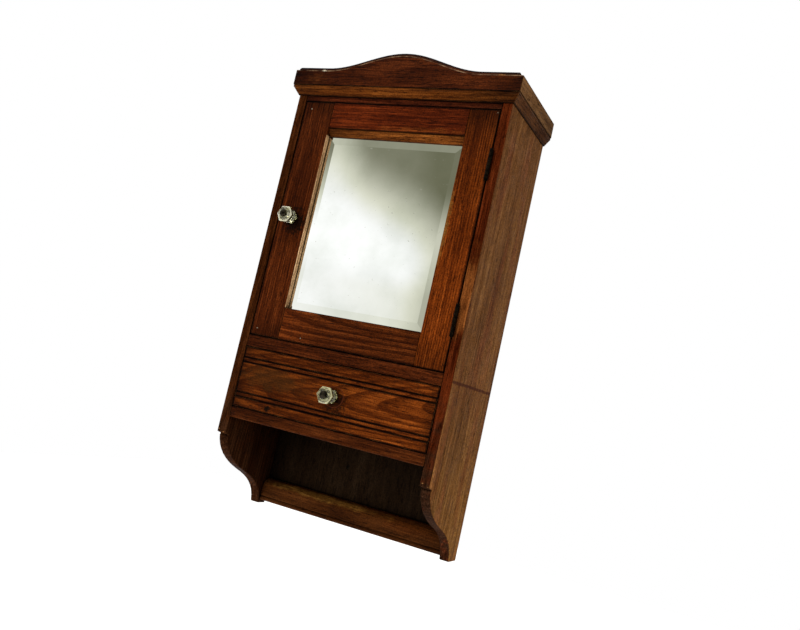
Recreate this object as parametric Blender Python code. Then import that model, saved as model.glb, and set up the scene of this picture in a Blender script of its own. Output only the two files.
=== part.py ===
"""A small wall-hung wooden medicine cabinet with a mirrored door, a drawer and an open niche.

Design lengths are millimetres: x runs across from the centre line (+ to the viewer's right),
y is the depth behind the front edges of the side boards, z is the height above the foot.
place() turns a design point into the part's frame: metres, with the origin on the wall side
of the back panel, at its centre, and the door facing -Y.
"""
from math import cos, pi, sin

import bmesh
import bpy
from mathutils import Vector

MM = 0.001

# ---------------------------------------------------------------- driving dimensions
CASE_WIDTH = 340.0
CASE_DEPTH = 152.0
CASE_TOP = 627.5
BOARD = 14.5                 # thickness of the side boards and of the crown boards
PANEL = 8.7                  # thickness of the back panel
FIT = 0.3                    # gap between pieces that touch
EASE = 0.8                   # worn arris on the boards

FLOOR_BOTTOM, FLOOR_TOP = 126.4, 142.1        # board under the drawer
DIVIDER_BOTTOM, DIVIDER_TOP = 230.2, 247.5    # board between drawer and door
HEAD_BOTTOM, HEAD_TOP = 606.0, 623.0          # top board
SHELF_BOTTOM, SHELF_TOP = 422.5, 432.5
SHELF_HALF = 154.5
SHELF_FRONT = 30.0
STRIP_SECTION = 10.0         # height of the battens and of the drawer stops
BATTEN_SPAN = (34.0, 139.0)
STOP_LENGTH = 20.5

REBATE = 7.0                 # width of the rebate that holds the back panel
PANEL_BOTTOM = 4.0
PANEL_TOP = 623.0

NOTCH_TOP = 102.0            # where the straight front edge ends and the scroll begins
NOTCH_DEPTH = 9.0
SCROLL_START = (7.5, 97.5)
SCROLL_WAIST = (68.0, 48.6)
SCROLL_FOOT = (125.8, 0.0)
SCROLL_STEPS = 8

RAIL_FRONT = 127.5           # moulded rail across the foot
RAIL_BOTTOM, RAIL_TOP = 5.1, 39.5
RAIL_ROUND_FOOT = 24.5       # height at which the rounding of its top meets its face
RAIL_BACK_FLAT = 0.04        # share of its thickness left flat behind the rounding
RAIL_BEAD_R = 2.8            # bead along its lower edge
RAIL_BEAD_HEIGHT = 8.4
RAIL_BEAD_SET_BACK = 1.2

CROWN_OVERHANG = 9.5
MOULDING_BOTTOM = 614.5
MOULDING_FOOT = 1.2          # how far the mould's lower edge stands out
MOULDING_LIP = 8.7           # how far its upper edge stands out
MOULDING_LIP_BOTTOM = 623.9
CROWN_BOTTOM = CASE_TOP + FIT
CROWN_END_TOP = 650.2        # top of the returns, and of the front board's lower arris
OVOLO_LEDGE = 1.0            # flat below the moulded top edge of the front board
END_LEDGE = 4.5              # the same flat at the board's two ends
OVOLO_DEPTH = 5.0
OVOLO_RISE = 6.0
OVOLO_STEPS = (0.0, 0.4, 1.3, 2.8, OVOLO_DEPTH)
PEDIMENT_RISE = 24.5
PEDIMENT_CENTRE = -3.0
PEDIMENT_HALF = 122.0

DOOR_BOTTOM, DOOR_TOP = 248.5, 605.0
DOOR_HALF = 154.3
DOOR_THICK = 20.0
OPENING_LEFT, OPENING_RIGHT = -105.7, 110.8
OPENING_BOTTOM, OPENING_TOP = 294.4, 566.8
LIP = 9.0                    # wood in front of the mirror's rebate
REBATE_OVERLAP = 7.0
TENON_LENGTH = 24.0
TENON_THICK = 6.0
TENON_FRONT = 2.2
TENON_SHOULDER = 8.0

MIRROR_FRONT = 8.3
MIRROR_THICK = 5.0
MIRROR_EDGE = 3.4            # glass left at the edge by the bevel
MIRROR_BEVEL = 18.0
MIRROR_TOP = 562.0
STRIP_BOTTOM = 555.6         # strip that fills the gap over the glass
STRIP_DEPTHS = (1.6, 7.4, 9.0)   # its upper arris, its lower arris and its back
BACKING_THICK = 3.0
BEAD = 3.1                   # thickness of the strips behind the backing board
BEAD_WIDTH = 7.0

HANGER_X = 110.0             # keyhole plates in the back
HANGER_SPAN = (560.0, 604.0)
HANGER_WIDTH = 20.0
HANGER_THICK = 1.5
NICHE_SCREW = (-24.0, 87.0)
NICHE_SCREW_R = 3.4

HINGE_HEIGHTS = {"upper": 528.2, "lower": 316.9}
HINGE_LENGTH = 43.0
HINGE_X = 155.1
HINGE_Y = -2.8
KNUCKLE_R = 2.5
PIN_R = 1.2
LEAF_THICK = 1.2
LEAF_DEPTH = 20.0
LEAF_GAP = 0.2               # from the hinge's centre plane to each leaf
HINGE_SCREW_DEPTH = 11.5     # of the leaf screws behind the front edge
HINGE_SCREW_OFFSET = 12.5
HINGE_SCREW_LENGTH = 11.0
HINGE_SCREW_R = 2.4
KNUCKLE_SEGMENTS = 5
ROUND_SIDES = 24

KNOB_DOOR = (-130.5, 425.7)
KNOB_DRAWER = (2.7, 186.3)
KNOB_SIDES = 6
KNOB_PROFILE = [             # depth and radius: foot, waist and cut face
    (-FIT, 8.0), (-3.2, 10.4), (-6.4, 10.4), (-10.2, 7.2), (-13.0, 7.2),
    (-17.0, 12.6), (-20.6, 12.6), (-23.6, 9.6),
]
BOLT_R = 2.0
BOLT_HEAD_R = 5.2
NUT_R = 4.6
NUT_THICK = 3.2

DRAWER_HALF = 154.5
DRAWER_BOTTOM, DRAWER_TOP = 142.9, 229.4
DRAWER_FRONT_THICK = 14.5
DRAWER_SIDE_OUT, DRAWER_SIDE_IN = 153.5, 144.5
DRAWER_SIDE_TOP = 212.0
DRAWER_BACK_Y = 133.0
DRAWER_BACK_THICK = 9.0
GROOVE_BOTTOM, GROOVE_TOP = 148.4, 153.7
GROOVE_DEPTH = 4.0
REED_HEIGHTS = (157.1, 207.4)    # lower groove of each reeded band
REED_PITCH = 6.8

CATCH_Z = 500.0
CATCH_X = -147.0
CATCH_WIDTH = 8.0
CATCH_SPAN = (25.0, 38.0)    # mouth and back of the spring clip
CATCH_GAPE = 2.4
CATCH_THICK = 0.8
STUD_R = 2.0
STUD_TIP = 34.0

# ---------------------------------------------------------------- worked-out sizes
CASE_HALF = CASE_WIDTH / 2
INNER_HALF = CASE_HALF - BOARD
PANEL_FRONT = CASE_DEPTH - PANEL
BOARD_BACK = PANEL_FRONT - FIT
CROWN_HALF = CASE_HALF + CROWN_OVERHANG
ORIGIN_HEIGHT = (PANEL_BOTTOM + PANEL_TOP) / 2
DRAWER_RUN = FLOOR_TOP + FIT       # level that the drawer's sides slide on


def place(x, y, z):
    """Design point in millimetres to the part's frame in metres."""
    return Vector((x, y - CASE_DEPTH, z - ORIGIN_HEIGHT)) * MM


# ---------------------------------------------------------------- materials
FINISHES = {
    "stained_wood": ((0.105, 0.030, 0.010), 0.45, 0.0),
    "faded_wood": ((0.150, 0.070, 0.026), 0.60, 0.0),
    "inner_wood": ((0.055, 0.022, 0.009), 0.75, 0.0),
    "backing_wood": ((0.210, 0.140, 0.080), 0.85, 0.0),
    "mirror_glass": ((0.780, 0.800, 0.780), 0.03, 1.0),
    "pressed_glass": ((0.520, 0.560, 0.400), 0.12, 0.0),
    "dark_steel": ((0.060, 0.055, 0.048), 0.45, 1.0),
    "old_brass": ((0.230, 0.160, 0.070), 0.45, 1.0),
}


def finish(name):
    """The named Principled BSDF material, made once and then shared."""
    if name in bpy.data.materials:
        return bpy.data.materials[name]
    colour, roughness, metallic = FINISHES[name]
    material = bpy.data.materials.new(name)
    material.use_nodes = True
    shader = material.node_tree.nodes["Principled BSDF"]
    shader.inputs["Base Color"].default_value = (*colour, 1.0)
    shader.inputs["Roughness"].default_value = roughness
    shader.inputs["Metallic"].default_value = metallic
    return material


# ---------------------------------------------------------------- shape helpers
AXIS_ORDER = {
    "x": lambda a, b, t: (t, a, b),
    "y": lambda a, b, t: (a, t, b),
    "z": lambda a, b, t: (a, b, t),
}


def close_up(mesh):
    """Merge repeated corners and turn every face outwards."""
    bmesh.ops.remove_doubles(mesh, verts=mesh.verts, dist=0.0005)
    bmesh.ops.dissolve_degenerate(mesh, edges=mesh.edges, dist=0.0005)
    bmesh.ops.recalc_face_normals(mesh, faces=mesh.faces)
    return mesh


def loft(rings, capped=True, looped=False):
    """Solid skin through rings of equal length; looped joins the last ring to the first."""
    mesh = bmesh.new()
    loops = [[mesh.verts.new(point) for point in ring] for ring in rings]
    pairs = list(zip(loops, loops[1:]))
    if looped:
        pairs.append((loops[-1], loops[0]))
    for near, far in pairs:
        for i in range(len(near)):
            j = (i + 1) % len(near)
            mesh.faces.new((near[i], near[j], far[j], far[i]))
    if capped and not looped:
        mesh.faces.new(loops[0])
        mesh.faces.new(loops[-1])
    return close_up(mesh)


def prism(outline, along, start, end):
    """A flat outline pushed along one axis."""
    order = AXIS_ORDER[along]
    return loft([[order(a, b, t) for a, b in outline] for t in (start, end)])


def block(x0, x1, y0, y1, z0, z1):
    """A rectangular board."""
    return prism([(x0, y0), (x1, y0), (x1, y1), (x0, y1)], "z", z0, z1)


def turned(profile, along, centre, sides=ROUND_SIDES, ring=False):
    """Turn (position, radius) points about an axis; ring keeps the middle open."""
    order = AXIS_ORDER[along]
    rings = []
    for position, radius in profile:
        circle = []
        for step in range(sides):
            angle = 2 * pi * step / sides
            a = centre[0] + radius * cos(angle)
            b = centre[1] + radius * sin(angle)
            circle.append(order(a, b, position))
        rings.append(circle)
    return loft(rings, capped=not ring, looped=ring)


def bezier(p0, p1, p2, p3, steps):
    """Points along a cubic curve, both ends included."""
    points = []
    for step in range(steps + 1):
        t = step / steps
        weights = ((1 - t) ** 3, 3 * t * (1 - t) ** 2, 3 * t ** 2 * (1 - t), t ** 3)
        points.append(tuple(sum(w * p[i] for w, p in zip(weights, (p0, p1, p2, p3))) for i in (0, 1)))
    return points


def add_object(name, mesh, origin, parent):
    """Store a design mesh as an object whose own origin is the design point given."""
    bmesh.ops.translate(mesh, verts=mesh.verts, vec=-Vector(origin))
    bmesh.ops.scale(mesh, verts=mesh.verts, vec=(MM, MM, MM))
    data = bpy.data.meshes.new(name)
    mesh.to_mesh(data)
    mesh.free()
    item = bpy.data.objects.new(name, data)
    item.location = place(*origin)
    if parent:
        item.parent = parent
        item.location -= parent.location
    bpy.context.scene.collection.objects.link(item)
    return item


def middle(mesh):
    """Centre of a design mesh's box."""
    lows = [min(v.co[i] for v in mesh.verts) for i in range(3)]
    highs = [max(v.co[i] for v in mesh.verts) for i in range(3)]
    return tuple((low + high) / 2 for low, high in zip(lows, highs))


def piece(name, mesh, material, parent=None, ease=0.0, smooth=None):
    """Add one sub-part. ease softens its sharp edges, smooth is the angle that stays sharp."""
    item = add_object(name, mesh, middle(mesh), parent)
    item.data.materials.append(finish(material))
    if smooth is not None:
        item.data.shade_smooth()
        item.data.set_sharp_from_angle(angle=smooth)
    if ease:
        soften = item.modifiers.new("eased_edges", "BEVEL")
        soften.width = ease * MM
        soften.segments = 1
        soften.limit_method = "ANGLE"
        soften.angle_limit = 0.6
    return item


def tool_object(item, mesh, operation):
    """Hidden solid that a Boolean on the item uses."""
    tool = add_object(f"tool_{item.name}_{len(item.modifiers)}", mesh, middle(mesh), item.parent)
    tool.hide_render = True
    tool.display_type = "WIRE"
    change = item.modifiers.new(operation.lower(), "BOOLEAN")
    change.operation = operation
    change.solver = "EXACT"
    change.object = tool


def cut(item, mesh):
    tool_object(item, mesh, "DIFFERENCE")


def weld(item, mesh):
    tool_object(item, mesh, "UNION")


def pivot(name, x, y, z):
    """Empty on a joint's axis that carries the moving pieces."""
    empty = bpy.data.objects.new(name, None)
    empty.location = place(x, y, z)
    bpy.context.scene.collection.objects.link(empty)
    return empty


# ---------------------------------------------------------------- carcass
def side_outline():
    """Side board seen from the side: straight front edge, notch and scrolled foot."""
    outline = [(0.0, CASE_TOP), (0.0, NOTCH_TOP), (NOTCH_DEPTH, NOTCH_TOP - 2.0)]
    outline += bezier(SCROLL_START, (11.9, 77.5), (32.3, 61.2), SCROLL_WAIST, SCROLL_STEPS)
    outline += bezier(SCROLL_WAIST, (98.6, 38.4), (120.7, 26.5), SCROLL_FOOT, SCROLL_STEPS)[1:]
    return outline + [(CASE_DEPTH, 0.0), (CASE_DEPTH, CASE_TOP)]


def side_board(name, sign):
    faces = sorted((sign * INNER_HALF, sign * CASE_HALF))
    board = piece(name, prism(side_outline(), "x", *faces), "stained_wood", ease=EASE)
    rebate = sorted((sign * (INNER_HALF - 1), sign * (INNER_HALF + REBATE)))
    cut(board, block(*rebate, PANEL_FRONT - FIT, CASE_DEPTH + 1, -1, CASE_TOP + 1))
    return board


def level_board(name, bottom, top):
    """Board between the sides, its front edge flush with theirs."""
    half = INNER_HALF - FIT
    return piece(name, block(-half, half, 0, BOARD_BACK, bottom, top), "stained_wood", ease=EASE)


def bottom_rail():
    """Rail across the foot: rounded top edge, and a bead along its lower edge."""
    depth = (BOARD_BACK - RAIL_FRONT) * (1 - RAIL_BACK_FLAT)
    drop = RAIL_TOP - RAIL_ROUND_FOOT
    set_back = RAIL_FRONT + RAIL_BEAD_SET_BACK
    bead_top = RAIL_BEAD_HEIGHT + RAIL_BEAD_R
    round_steps, bead_steps = 7, 6
    outline = []
    for step in range(round_steps + 1):
        angle = pi / 2 * step / round_steps
        outline.append((BOARD_BACK - depth * sin(angle), RAIL_TOP - drop * (1 - cos(angle))))
    outline += [(RAIL_FRONT, bead_top + RAIL_BEAD_SET_BACK), (set_back, bead_top + FIT)]
    for step in range(1, bead_steps):
        angle = pi * step / bead_steps
        bulge = RAIL_BEAD_R * 0.6 * sin(angle)
        outline.append((set_back - bulge, RAIL_BEAD_HEIGHT + RAIL_BEAD_R * cos(angle)))
    outline += [(set_back, RAIL_BOTTOM), (BOARD_BACK, RAIL_BOTTOM)]
    half = INNER_HALF - FIT
    piece("bottom_rail", prism(outline, "x", -half, half), "stained_wood", smooth=0.6)


def shelf():
    board = block(-SHELF_HALF, SHELF_HALF, SHELF_FRONT, BOARD_BACK, SHELF_BOTTOM, SHELF_TOP)
    piece("shelf", board, "inner_wood", ease=EASE)
    top = SHELF_BOTTOM - FIT
    for side, sign in (("left", -1), ("right", 1)):
        faces = sorted((sign * (INNER_HALF - FIT), sign * (INNER_HALF - 8)))
        batten = block(*faces, *BATTEN_SPAN, top - STRIP_SECTION, top)
        piece(f"shelf_batten_{side}", batten, "inner_wood", ease=EASE)


def drawer_stops():
    for side, sign in (("left", -1), ("right", 1)):
        faces = sorted((sign * (INNER_HALF - STOP_LENGTH), sign * (INNER_HALF - FIT)))
        stop = block(*faces, DRAWER_BACK_Y + 0.4, BOARD_BACK, DRAWER_RUN, DRAWER_RUN + STRIP_SECTION)
        piece(f"drawer_stop_{side}", stop, "inner_wood", ease=EASE)


def screw(name, along, centre, head_face, tip, head_r, material="dark_steel", parent=None):
    """Countersunk, slotted wood screw from its flush head face to its tip."""
    inward = 1 if tip > head_face else -1
    shank_r = head_r * 0.5
    neck = head_face + inward * (head_r - shank_r)
    shoulder = tip - inward * shank_r * 2
    profile = [(head_face, head_r), (neck, shank_r), (shoulder, shank_r), (tip, shank_r * 0.25)]
    item = piece(name, turned(profile, along, centre, sides=16), material, parent, smooth=0.6)
    half_slot, half_span, slot_depth = head_r * 0.13, head_r + 1, head_r * 0.3
    a, b = centre
    slot = [(a - half_slot, b - half_span), (a + half_slot, b - half_span),
            (a + half_slot, b + half_span), (a - half_slot, b + half_span)]
    cut(item, prism(slot, along, head_face - inward, head_face + inward * slot_depth))
    return profile


def screw_hole(item, profile, along, centre):
    """Clear the profile of a screw from an item, a little wider and past both ends."""
    inward = 1 if profile[-1][0] > profile[0][0] else -1
    (face, head_r), (neck, shank_r), _, (tip, _) = profile
    hole = [
        (face - inward * 3, head_r + FIT),
        (face, head_r + FIT),
        (neck, shank_r + FIT),
        (tip + inward * 0.5, shank_r + FIT),
    ]
    cut(item, turned(hole, along, centre, sides=16))


def back_panel():
    half = INNER_HALF + REBATE - FIT
    board = block(-half, half, PANEL_FRONT, CASE_DEPTH, PANEL_BOTTOM, PANEL_TOP)
    panel = piece("back_panel", board, "inner_wood")
    for side, sign in (("left", -1), ("right", 1)):
        hanger(panel, side, sign * HANGER_X)
    shape = screw("niche_screw", "y", NICHE_SCREW, PANEL_FRONT + 0.1, CASE_DEPTH - 0.2, NICHE_SCREW_R)
    screw_hole(panel, shape, "y", NICHE_SCREW)


def keyhole(x, low, high):
    """Round hole for a screw's head, running up into a narrow slot for its neck."""
    hole_r, slot_r = 4.8, 2.4
    start, sweep, hole_steps, slot_steps = pi * 0.66, pi * 1.68, 12, 6
    outline = []
    for step in range(hole_steps + 1):
        angle = start + sweep * step / hole_steps
        outline.append((x + hole_r * cos(angle), low + 16 + hole_r * sin(angle)))
    for step in range(slot_steps + 1):
        angle = pi * step / slot_steps
        outline.append((x + slot_r * cos(angle), high - 14 + slot_r * sin(angle)))
    return outline


def hanger(panel, side, x):
    """Keyhole plate let flush into the back panel, with room behind it for a screw's head."""
    half, (low, high) = HANGER_WIDTH / 2, HANGER_SPAN
    outer = CASE_DEPTH - FIT
    inner = outer - HANGER_THICK
    head_room, head_margin = 6.0, 8.0
    cut(panel, block(x - half - FIT, x + half + FIT, inner - FIT, CASE_DEPTH + 1, low - FIT, high + FIT))
    cut(panel, block(x - head_room, x + head_room, PANEL_FRONT + 2, inner + FIT,
                     low + head_margin, high - head_margin))
    plate = piece(f"hanger_plate_{side}", block(x - half, x + half, inner, outer, low, high), "dark_steel")
    cut(plate, prism(keyhole(x, low, high), "y", inner - 1, outer + 1))


def carcass():
    side_board("left_side", -1)
    right = side_board("right_side", 1)
    level_board("top_board", HEAD_BOTTOM, HEAD_TOP)
    level_board("divider_board", DIVIDER_BOTTOM, DIVIDER_TOP)
    level_board("drawer_floor_board", FLOOR_BOTTOM, FLOOR_TOP)
    bottom_rail()
    back_panel()
    shelf()
    drawer_stops()
    return right


# ---------------------------------------------------------------- crown
MOULDING_PROFILE = [
    (FIT, MOULDING_BOTTOM),
    (MOULDING_FOOT, MOULDING_BOTTOM),
    (MOULDING_LIP - 1.4, MOULDING_LIP_BOTTOM - 0.9),
    (MOULDING_LIP - 0.7, MOULDING_LIP_BOTTOM),
    (MOULDING_LIP, MOULDING_LIP_BOTTOM + 0.4),
    (MOULDING_LIP, CASE_TOP),
    (FIT, CASE_TOP),
]


def crown_mouldings():
    """Sloping mould round the case, mitred at the front corners."""
    front = [[(sign * (CASE_HALF + out - FIT), -out, z) for out, z in MOULDING_PROFILE] for sign in (-1, 1)]
    piece("crown_moulding_front", loft(front), "stained_wood")
    for side, sign in (("left", -1), ("right", 1)):
        ends = [
            [(sign * (CASE_HALF + out), FIT - out, z) for out, z in MOULDING_PROFILE],
            [(sign * (CASE_HALF + out), CASE_DEPTH, z) for out, z in MOULDING_PROFILE],
        ]
        piece(f"crown_moulding_{side}", loft(ends), "faded_wood")


def pediment_height(x):
    """Lower arris of the front board: level at the ends, one smooth swell in the middle."""
    reach = min(1.0, abs(x - PEDIMENT_CENTRE) / PEDIMENT_HALF)
    return CROWN_END_TOP + PEDIMENT_RISE * (1 + cos(pi * reach)) / 2


def ovolo(distance):
    """Rise of the moulded top edge at a distance inside the ledge."""
    inside = min(1.0, max(0.0, distance / OVOLO_DEPTH))
    return OVOLO_RISE * (1 - (1 - inside) ** 2) ** 0.5


def crown_section(x):
    """Closed section of the front board at one place along it, cut back by the mitre."""
    front = -CROWN_OVERHANG
    from_end = CROWN_HALF - abs(x)
    back = front + min(BOARD, from_end)
    arris = pediment_height(x)
    section = [(x, front, CROWN_BOTTOM), (x, front, arris)]
    for inside in (*OVOLO_STEPS, BOARD):
        y = min(back, front + OVOLO_LEDGE + inside)
        rise = min(ovolo(inside), ovolo(from_end - END_LEDGE))
        section.append((x, y, arris + rise))
    section.append((x, back, CROWN_BOTTOM))
    return section


def crown_front_board():
    end_steps = (FIT * 1.5, OVOLO_LEDGE, *(END_LEDGE + inside for inside in OVOLO_STEPS), BOARD, 32.0)
    half = [CROWN_HALF - step for step in end_steps]
    swell = [PEDIMENT_CENTRE + PEDIMENT_HALF * (step / 18 - 1) for step in range(37)]
    stations = [-x for x in half] + swell + half[::-1]
    piece("crown_front_board", loft([crown_section(x) for x in stations]), "stained_wood", smooth=0.5)


def crown_returns():
    for side, sign in (("left", -1), ("right", 1)):
        outline = [
            (sign * CROWN_HALF, FIT - CROWN_OVERHANG),
            (sign * CROWN_HALF, CASE_DEPTH),
            (sign * (CROWN_HALF - BOARD), CASE_DEPTH),
            (sign * (CROWN_HALF - BOARD), FIT - CROWN_OVERHANG + BOARD),
        ]
        board = prism(outline, "z", CROWN_BOTTOM, CROWN_END_TOP)
        piece(f"crown_return_{side}", board, "faded_wood")


# ---------------------------------------------------------------- door
def door_frame(parent):
    """Stiles with blind mortises, rails with tenons, and a rebate at the back for the mirror."""
    stile_l = piece(
        "door_stile_left",
        block(-DOOR_HALF, OPENING_LEFT, 0, DOOR_THICK, DOOR_BOTTOM, DOOR_TOP),
        "stained_wood", parent, ease=EASE)
    stile_r = piece(
        "door_stile_right",
        block(OPENING_RIGHT, DOOR_HALF, 0, DOOR_THICK, DOOR_BOTTOM, DOOR_TOP),
        "stained_wood", parent, ease=EASE)
    levels = {"top": (OPENING_TOP, DOOR_TOP), "bottom": (DOOR_BOTTOM, OPENING_BOTTOM)}
    for name, (low, high) in levels.items():
        rail_mesh = block(OPENING_LEFT + FIT, OPENING_RIGHT - FIT, 0, DOOR_THICK, low, high)
        rail = piece(f"door_rail_{name}", rail_mesh, "stained_wood", parent, ease=EASE * 0.6)
        tenon_low, tenon_high = low + TENON_SHOULDER, high - TENON_SHOULDER
        for stile, edge, sign in ((stile_l, OPENING_LEFT, -1), (stile_r, OPENING_RIGHT, 1)):
            reach = sorted((edge - sign * 3, edge + sign * TENON_LENGTH))
            weld(rail, block(*reach, TENON_FRONT, TENON_FRONT + TENON_THICK, tenon_low, tenon_high))
            hole = sorted((edge - sign * 5, edge + sign * (TENON_LENGTH + FIT)))
            cut(stile, block(*hole, TENON_FRONT - FIT, TENON_FRONT + TENON_THICK + FIT,
                             tenon_low - FIT, tenon_high + FIT))
        cut(rail, rebate_space())
    for stile in (stile_l, stile_r):
        cut(stile, rebate_space())
    return stile_l, stile_r


def rebate_space():
    """Room behind the opening for the mirror, its backing and the beads."""
    return block(OPENING_LEFT - REBATE_OVERLAP, OPENING_RIGHT + REBATE_OVERLAP, LIP, DOOR_THICK + 1,
                 OPENING_BOTTOM - REBATE_OVERLAP, OPENING_TOP + REBATE_OVERLAP)


def mirror(parent):
    """Plate glass, bevelled all round on its front."""
    grow = REBATE_OVERLAP - 0.5
    x0, x1 = OPENING_LEFT - grow, OPENING_RIGHT + grow
    z0, z1 = OPENING_BOTTOM - grow, MIRROR_TOP

    def ring(inset, y):
        return [(x0 + inset, y, z0 + inset), (x1 - inset, y, z0 + inset),
                (x1 - inset, y, z1 - inset), (x0 + inset, y, z1 - inset)]

    back = MIRROR_FRONT + MIRROR_THICK
    glass = loft([ring(MIRROR_BEVEL, MIRROR_FRONT), ring(0, back - MIRROR_EDGE), ring(0, back)])
    piece("mirror", glass, "mirror_glass", parent)
    board = block(x0, x1, back + FIT, back + FIT + BACKING_THICK, z0, OPENING_TOP + grow)
    piece("mirror_backing_board", board, "backing_wood", parent)


def mirror_top_strip(parent):
    """Sloping strip between the top rail and the glass."""
    front, foot, back = STRIP_DEPTHS
    outline = [(front, OPENING_TOP - FIT), (front, OPENING_TOP - front), (foot, STRIP_BOTTOM),
               (back, STRIP_BOTTOM), (back, OPENING_TOP - FIT)]
    strip = prism(outline, "x", OPENING_LEFT + FIT, OPENING_RIGHT - FIT)
    piece("mirror_top_strip", strip, "stained_wood", parent)


def backing_beads(parent):
    """Four small strips that hold the backing board in its rebate."""
    front = MIRROR_FRONT + MIRROR_THICK + BACKING_THICK + 2 * FIT
    back = front + BEAD
    grow = REBATE_OVERLAP - FIT
    x0, x1 = OPENING_LEFT - grow, OPENING_RIGHT + grow
    z0, z1 = OPENING_BOTTOM - grow, OPENING_TOP + grow
    strips = {
        "bottom": (x0, x1, z0, z0 + BEAD_WIDTH),
        "top": (x0, x1, z1 - BEAD_WIDTH, z1),
        "left": (x0, x0 + BEAD_WIDTH, z0 + BEAD_WIDTH + FIT, z1 - BEAD_WIDTH - FIT),
        "right": (x1 - BEAD_WIDTH, x1, z0 + BEAD_WIDTH + FIT, z1 - BEAD_WIDTH - FIT),
    }
    for name, (left, right, low, high) in strips.items():
        strip = block(left, right, front, back, low, high)
        piece(f"backing_bead_{name}", strip, "inner_wood", parent, ease=EASE)


# ---------------------------------------------------------------- hinges
def knuckle_spans(height):
    """Start and end of each knuckle along the pin."""
    pitch = HINGE_LENGTH / KNUCKLE_SEGMENTS
    low = height - HINGE_LENGTH / 2
    return [(low + i * pitch + FIT / 2, low + (i + 1) * pitch - FIT / 2) for i in range(KNUCKLE_SEGMENTS)]


def hinge_leaf(name, height, sign, parent):
    """Flat leaf with its share of the knuckles; sign is +1 for the leaf on the side board."""
    inner, outer = LEAF_GAP, LEAF_GAP + LEAF_THICK
    faces = sorted((HINGE_X + sign * inner, HINGE_X + sign * outer))
    low, high = height - HINGE_LENGTH / 2, height + HINGE_LENGTH / 2
    plate = block(*faces, HINGE_Y + KNUCKLE_R + 0.1, LEAF_DEPTH, low, high)
    leaf = piece(name, plate, "old_brass", parent)
    spans = knuckle_spans(height)[0 if sign > 0 else 1::2]
    for start, end in spans:
        arm_end = HINGE_Y + KNUCKLE_R + 1.5
        weld(leaf, block(*faces, HINGE_Y + PIN_R + 0.5, arm_end, start, end))
        tube = [(start, PIN_R + 0.1), (end, PIN_R + 0.1), (end, KNUCKLE_R), (start, KNUCKLE_R)]
        weld(leaf, turned(tube, "z", (HINGE_X, HINGE_Y), ring=True))
    return leaf


def hinge_screws(label, height, sign, leaf, wood, parent):
    """Two countersunk screws through a leaf into the wood behind it."""
    leaf_name = "frame" if sign > 0 else "door"
    face = HINGE_X + sign * (LEAF_GAP + 0.05)
    tip = face + sign * HINGE_SCREW_LENGTH
    for position, offset in (("top", HINGE_SCREW_OFFSET), ("bottom", -HINGE_SCREW_OFFSET)):
        centre = (HINGE_SCREW_DEPTH, height + offset)
        shape = screw(f"hinge_{label}_{leaf_name}_screw_{position}", "x", centre, face, tip, HINGE_SCREW_R,
                      "old_brass", parent)
        screw_hole(leaf, shape, "x", centre)
        screw_hole(wood, shape, "x", centre)


def hinges(side, stile, door):
    for label, height in HINGE_HEIGHTS.items():
        low, high = height - HINGE_LENGTH / 2 - FIT, height + HINGE_LENGTH / 2 + FIT
        for sign, wood, parent in ((1, side, None), (-1, stile, door)):
            leaf_name = "frame" if sign > 0 else "door"
            pocket = sorted((HINGE_X - sign * 2, HINGE_X + sign * (LEAF_GAP + LEAF_THICK + FIT)))
            cut(wood, block(*pocket, -1, LEAF_DEPTH + FIT, low, high))
            leaf = hinge_leaf(f"hinge_{label}_{leaf_name}_leaf", height, sign, parent)
            hinge_screws(label, height, sign, leaf, wood, parent)
        half = HINGE_LENGTH / 2
        pin = [(height - half - 1.2, PIN_R + 0.5), (height - half - 0.3, PIN_R + 0.5),
               (height - half - 0.3, PIN_R), (height + half, PIN_R), (height + half + 0.8, PIN_R * 0.6)]
        piece(f"hinge_{label}_pin", turned(pin, "z", (HINGE_X, HINGE_Y)), "old_brass", smooth=0.6)


# ---------------------------------------------------------------- knobs and catch
def knob(name, centre, wood, wood_back, parent):
    """Pressed-glass knob held by one bolt right through it and a nut behind."""
    bore_r = BOLT_R + FIT
    face = KNOB_PROFILE[-1][0]
    glass = turned([(face, bore_r), *reversed(KNOB_PROFILE), (-FIT, bore_r)], "y", centre,
                   sides=KNOB_SIDES * 2, ring=True)
    hexagon(glass, centre)
    piece(name, glass, "pressed_glass", parent)
    head_face = face - FIT
    head = [(head_face - 4.3, 1.5), (head_face - 3.7, 3.6), (head_face - 2.3, BOLT_HEAD_R - 0.3),
            (head_face - 0.7, BOLT_HEAD_R), (head_face, BOLT_HEAD_R)]
    nut_start = wood_back + FIT
    nut_end = nut_start + NUT_THICK
    shank = [(head_face, BOLT_R), (nut_end + 1.1, BOLT_R), (nut_end + 1.5, BOLT_R - 0.4)]
    piece(f"{name}_bolt", turned(head + shank, "y", centre), "dark_steel", parent, smooth=0.6)
    cut(wood, turned([(-1, bore_r), (wood_back + 1, bore_r)], "y", centre))
    nut = turned([(nut_start, bore_r), (nut_start, NUT_R), (nut_end, NUT_R), (nut_end, bore_r)],
                 "y", centre, sides=KNOB_SIDES, ring=True)
    piece(f"{name}_nut", nut, "dark_steel", parent)


def hexagon(mesh, centre):
    """Draw every second corner of a twelve-sided knob in, so that it reads as six-sided."""
    flat = cos(pi / KNOB_SIDES)
    for vertex in mesh.verts:
        dx, dz = vertex.co.x - centre[0], vertex.co.z - centre[1]
        radius = (dx * dx + dz * dz) ** 0.5
        if radius < BOLT_R + 1:
            continue
        step = round(KNOB_SIDES * 2 * ((Vector((dx, dz)).angle_signed(Vector((1, 0)))) / (2 * pi)))
        if step % 2:
            shrink = flat + 0.02
            vertex.co.x = centre[0] + dx * shrink
            vertex.co.z = centre[1] + dz * shrink


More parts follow.
